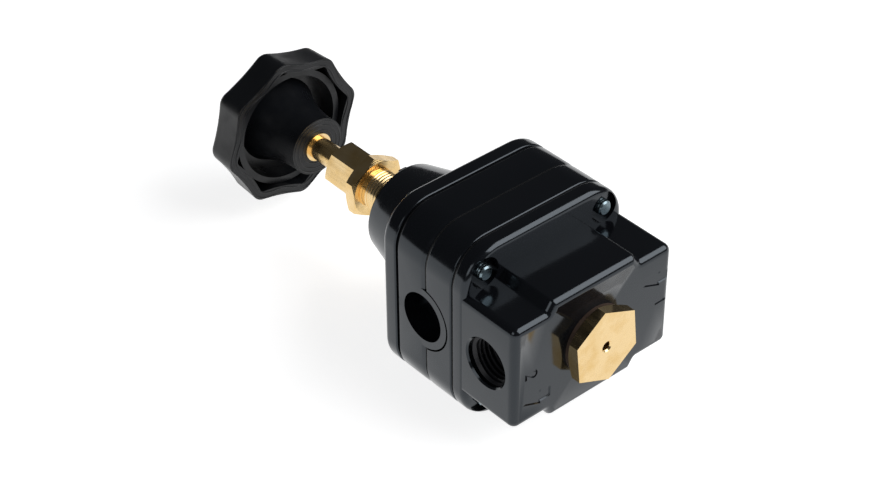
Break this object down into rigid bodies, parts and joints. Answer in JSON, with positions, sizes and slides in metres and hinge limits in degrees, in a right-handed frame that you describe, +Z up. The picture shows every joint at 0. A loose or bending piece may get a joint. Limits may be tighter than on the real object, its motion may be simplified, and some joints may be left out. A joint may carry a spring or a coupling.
{
  "type": "pneumatic control valve",
  "caption": "Compact precision air control valve with stacked square diecast bodies, in-line threaded ports, brass panel neck and lobed adjusting knob.",
  "frame": {"origin": "under the middle of the overall length, on the plane that the square body rests on", "axes": "+X from the outlet port to the inlet port, +Y from the plug face to the knob along the valve axis, +Z up from the resting side"},
  "size_m": [0.052, 0.1322, 0.052],
  "materials": {
    "black_enamel": "glossy black enamel over diecast zinc",
    "black_plastic": "satin moulded charcoal plastic",
    "brass": "bright turned brass",
    "zinc_steel": "bright zinc plated steel",
    "hard_steel": "spring and ball steel",
    "plate_aluminium": "turned aluminium",
    "nitrile": "fabric reinforced nitrile rubber",
    "fibre": "dark vulcanised fibre"
  },
  "bodies": {
    "valve_body": {"base_body": "black_enamel", "base_gasket": "nitrile", "bleed_orifice": "brass", "body_screw_1": "zinc_steel", "body_screw_2": "zinc_steel", "body_screw_3": "zinc_steel", "body_screw_4": "zinc_steel", "bonnet": "black_enamel", "bottom_plug": "brass", "control_diaphragm": "nitrile", "gland_hex": "brass", "guide_bush": "brass", "neck_bush": "brass", "panel_nut": "brass", "pilot_body": "black_enamel", "pilot_nozzle": "brass", "plug_washer": "fibre", "range_spring": "hard_steel", "relay_diaphragm": "nitrile", "screw_washer_1": "zinc_steel", "screw_washer_2": "zinc_steel", "screw_washer_3": "zinc_steel", "screw_washer_4": "zinc_steel", "spacer_body": "black_enamel", "valve_seat": "brass", "valve_spring": "hard_steel"},
    "spring_seat": {"upper_spring_seat": "zinc_steel", "thrust_ball": "hard_steel"},
    "adjuster": {"knob": "black_plastic", "knob_insert": "brass", "adjusting_spindle": "brass"},
    "control_stack": {"control_plate_upper": "plate_aluminium", "control_plate_lower": "plate_aluminium", "control_stem": "brass"},
    "relay_stack": {"relay_plate_upper": "plate_aluminium", "relay_plate_lower": "plate_aluminium", "relay_stem": "brass"},
    "main_valve": {"poppet": "brass", "poppet_face": "nitrile"}
  },
  "joints": [
    {"name": "seat_travel", "type": "slide", "parent": "valve_body", "child": "spring_seat", "axis": [0, -1, 0], "range_m": [0, 0.006], "deforming": ["range_spring"]},
    {"name": "knob_turn", "type": "hinge", "parent": "spring_seat", "child": "adjuster", "pos_m": [0, 0.05615, 0.026], "axis": [0, -1, 0], "range_deg": [0, 2165]},
    {"name": "diaphragm_travel", "type": "slide", "parent": "valve_body", "child": "control_stack", "axis": [0, -1, 0], "range_m": [0, 0.0003], "stiffness_N_per_m": 2000, "deforming": ["control_diaphragm"]},
    {"name": "relay_travel", "type": "slide", "parent": "valve_body", "child": "relay_stack", "axis": [0, -1, 0], "range_m": [0, 0.0012], "stiffness_N_per_m": 800, "deforming": ["relay_diaphragm"]},
    {"name": "main_valve_travel", "type": "slide", "parent": "valve_body", "child": "main_valve", "axis": [0, -1, 0], "range_m": [0, 0.0012], "stiffness_N_per_m": 800, "deforming": ["valve_spring"]}
  ],
  "couplings": [
    {"joint": "knob_turn", "follows": "seat_travel", "rad_per_m": 6283.2},
    {"joint": "main_valve_travel", "follows": "relay_travel", "ratio": 1}
  ]
}
